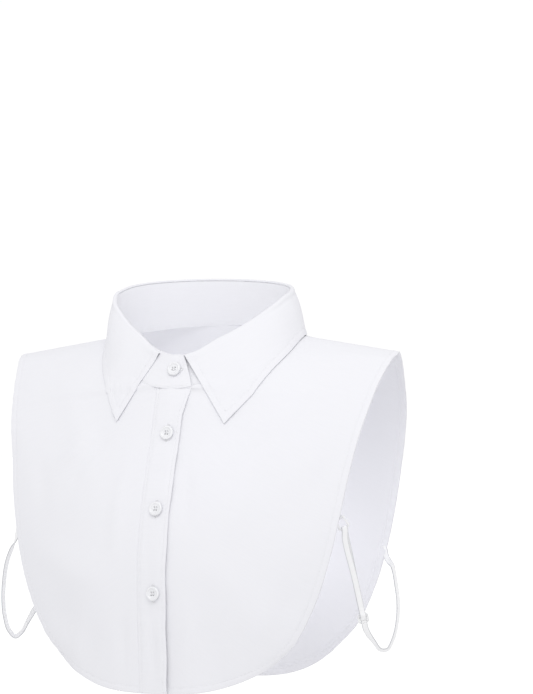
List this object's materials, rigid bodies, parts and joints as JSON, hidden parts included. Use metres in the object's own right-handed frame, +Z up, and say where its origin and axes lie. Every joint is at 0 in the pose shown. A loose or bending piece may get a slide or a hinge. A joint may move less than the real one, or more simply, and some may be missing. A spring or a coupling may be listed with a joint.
{
  "type": "detachable shirt collar",
  "caption": "Sleeveless false shirt collar with bib fronts and back, button placket, stand and pointed leaf, and adjustable elastic side straps, in its hollow worn form",
  "frame": {"origin": "the middle of the neck opening, at the height where the shoulder seams meet the neck; the wearer's neck holds the collar here", "axes": "+Z up; the front with the placket faces -Y; +X is the wearer's left"},
  "size_m": [0.3392, 0.1809, 0.332],
  "materials": {
    "poplin": "plain woven white cotton poplin, matt",
    "elastic": "white narrow knitted elastic",
    "slider": "white moulded plastic",
    "button": "pearly white four-hole buttons"
  },
  "bodies": {
    "root": {"front_left": "poplin", "front_right": "poplin", "back": "poplin", "placket": "poplin", "collar_stand": "poplin", "collar_leaf": "poplin", "button_1": "button", "button_2": "button", "button_3": "button", "button_4": "button", "strap_tab_left": "poplin", "strap_tab_right": "poplin", "strap_ring_left": "slider", "strap_ring_right": "slider", "strap_slider_left": "slider", "strap_slider_right": "slider", "strap_doubled_left": "elastic", "strap_doubled_right": "elastic", "strap_return_left": "elastic", "strap_return_right": "elastic", "strap_loop_left": "elastic", "strap_loop_right": "elastic"}
  },
  "joints": []
}
